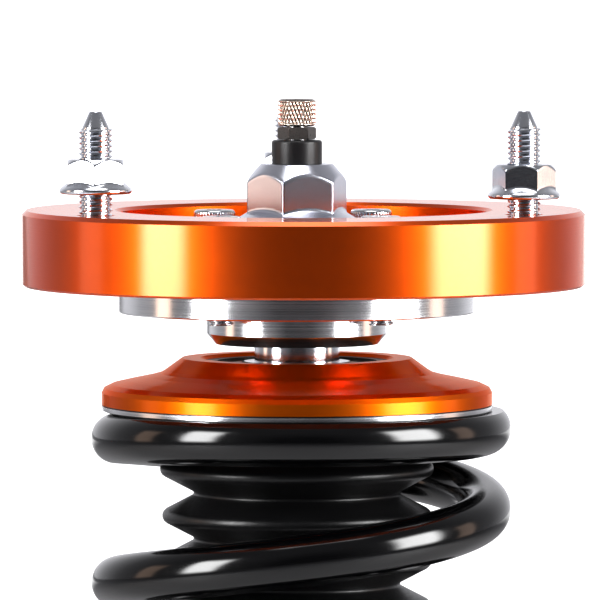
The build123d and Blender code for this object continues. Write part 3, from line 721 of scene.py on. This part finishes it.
# ---------------------------------------------------------------- studio
FLOOR_HALF_WIDTH, FLOOR_FRONT, FLOOR_BACK = 4.0, -4.0, 60.0
GLOW_FROM, GLOW_TO, GLOW = 2.5, 5.0, 1.1
GLOW_CENTRE, GLOW_HALF_WIDTH, GLOW_EDGE = 1.0, 2.65, 2.95
floor_z = cad_box[0][2] - 0.0002
floor_look = Look("studio_floor", (0.60, 0.60, 0.61), 0.0, 0.6)
floor_tone = floor_look.noise(floor_look.place(), 0.8, 2.0)
floor_look.feed(
    "Base Color",
    floor_look.mix(floor_look.spread(floor_tone, 0.0, 1.0), (0.59, 0.59, 0.60), (0.61, 0.61, 0.62)),
)
floor_spot = floor_look.add("ShaderNodeSeparateXYZ", {0: floor_look.place()})
floor_look.shader.inputs["Emission Color"].default_value = (1, 1, 1, 1)
off_centre = floor_look.add(
    "ShaderNodeMath", {0: floor_spot.outputs[0], 1: GLOW_CENTRE}, operation="SUBTRACT"
)
sideways = floor_look.add("ShaderNodeMath", {0: off_centre.outputs[0]}, operation="ABSOLUTE")
glow_parts = {
    0: floor_look.spread(floor_spot.outputs[1], 0.0, GLOW, GLOW_FROM, GLOW_TO),
    1: floor_look.spread(sideways.outputs[0], 1.0, 0.0, GLOW_HALF_WIDTH, GLOW_EDGE),
}
floor_look.feed(
    "Emission Strength",
    floor_look.add("ShaderNodeMath", glow_parts, operation="MULTIPLY").outputs[0],
)
floor_mesh = bpy.data.meshes.new("studio_floor")
floor_mesh.from_pydata(
    [
        (-FLOOR_HALF_WIDTH, FLOOR_FRONT, floor_z),
        (FLOOR_HALF_WIDTH, FLOOR_FRONT, floor_z),
        (FLOOR_HALF_WIDTH, FLOOR_BACK, floor_z),
        (-FLOOR_HALF_WIDTH, FLOOR_BACK, floor_z),
    ],
    [],
    [(0, 1, 2, 3)],
)
floor_mesh.materials.append(floor_look.material)
studio_floor = bpy.data.objects.new("studio_floor", floor_mesh)
bpy.context.scene.collection.objects.link(studio_floor)


def softbox(name, bearing, rise, distance, wide, tall, radiance, colour=(1, 1, 1), soft=0.5):
    """A soft-edged area light looking at the strut's top; bearing 0 is the camera's side."""
    light = bpy.data.lights.new(name, "AREA")
    light.shape = "RECTANGLE"
    light.size, light.size_y = wide, tall
    light.energy = radiance * pi * wide * tall
    light.color = colour
    light.use_nodes = True
    nodes, links = light.node_tree.nodes, light.node_tree.links
    glow = nodes["Emission"]
    where = nodes.new("ShaderNodeNewGeometry")
    parts = nodes.new("ShaderNodeSeparateXYZ")
    links.new(where.outputs["Parametric"], parts.inputs[0])
    fades = []
    for axis in (0, 1):
        away = nodes.new("ShaderNodeMath")
        away.operation = "SUBTRACT"
        away.inputs[1].default_value = 0.5
        links.new(parts.outputs[axis], away.inputs[0])
        size = nodes.new("ShaderNodeMath")
        size.operation = "ABSOLUTE"
        links.new(away.outputs[0], size.inputs[0])
        fade = nodes.new("ShaderNodeMapRange")
        fade.interpolation_type = "SMOOTHSTEP"
        fade.inputs["From Min"].default_value = 0.5 * (1 - soft)
        fade.inputs["From Max"].default_value = 0.5
        fade.inputs["To Min"].default_value = 1.0
        fade.inputs["To Max"].default_value = 0.0
        links.new(size.outputs[0], fade.inputs["Value"])
        fades.append(fade.outputs[0])
    both = nodes.new("ShaderNodeMath")
    both.operation = "MULTIPLY"
    links.new(fades[0], both.inputs[0])
    links.new(fades[1], both.inputs[1])
    links.new(both.outputs[0], glow.inputs["Strength"])
    lamp = bpy.data.objects.new(name, light)
    lamp.visible_camera = False
    bpy.context.scene.collection.objects.link(lamp)
    b, e = radians(bearing), radians(rise)
    spot = Vector((sin(b) * cos(e), -cos(b) * cos(e), sin(e))) * distance
    lamp.location = spot + Vector((0, 0, -0.03))
    lamp.rotation_euler = spot.to_track_quat("Z", "Y").to_euler()
    return lamp


softbox("left_box", -61, 15, 1.6, 0.75, 1.5, 15.0)
softbox("right_box", 63, 15, 1.6, 1.05, 1.5, 15.0)
softbox("left_side_box", -98, 8, 1.6, 0.5, 1.2, 1.5, (1.0, 0.7, 0.52))
softbox("right_side_box", 98, 8, 1.6, 0.5, 1.2, 1.5, (1.0, 0.72, 0.56))
softbox("top_box", 0, 80, 1.5, 1.2, 0.8, 4.0)

world = bpy.data.worlds.new("studio")
bpy.context.scene.world = world
world.use_nodes = True
tree = world.node_tree
background = tree.nodes["Background"]
direction = tree.nodes.new("ShaderNodeTexCoord")
split = tree.nodes.new("ShaderNodeSeparateXYZ")
tree.links.new(direction.outputs["Generated"], split.inputs[0])
ramp = tree.nodes.new("ShaderNodeValToRGB")
shift = tree.nodes.new("ShaderNodeMapRange")
shift.inputs["From Min"].default_value = -1.0
tree.links.new(split.outputs[1], shift.inputs["Value"])
tree.links.new(shift.outputs[0], ramp.inputs[0])
tree.links.new(ramp.outputs[0], background.inputs[0])
stops = ramp.color_ramp.elements
stops[0].position, stops[0].color = 0.02, (0.05, 0.05, 0.053, 1)
stops[1].position, stops[1].color = 0.96, (0.78, 0.78, 0.81, 1)
for position, grey in ((0.05, 0.12), (0.12, 0.2), (0.5, 0.22), (0.78, 0.38)):
    stop = stops.new(position)
    stop.color = (grey, grey, grey * 1.04, 1)
background.inputs[1].default_value = 1.2

CAMERA_AZIMUTH, CAMERA_RISE, CAMERA_DISTANCE = -3.0, 3.1, 1904.0
AIM = Vector((-0.86, 0.0, -21.5))
camera_data = bpy.data.cameras.new("camera")
camera_data.lens = 480.0
camera_data.sensor_width = 36.0
camera_data.clip_end = 200.0
camera = bpy.data.objects.new("camera", camera_data)
bpy.context.scene.collection.objects.link(camera)
a, e = radians(CAMERA_AZIMUTH), radians(CAMERA_RISE)
toward = Vector((sin(a) * cos(e), -cos(a) * cos(e), sin(e)))
camera.location = (AIM + toward * CAMERA_DISTANCE) * MM
camera.rotation_euler = toward.to_track_quat("Z", "Y").to_euler()
bpy.context.scene.camera = camera
bpy.context.scene.view_settings.view_transform = "Standard"
bpy.context.scene.view_settings.exposure = 0.1
bpy.context.scene.view_settings.gamma = 0.82
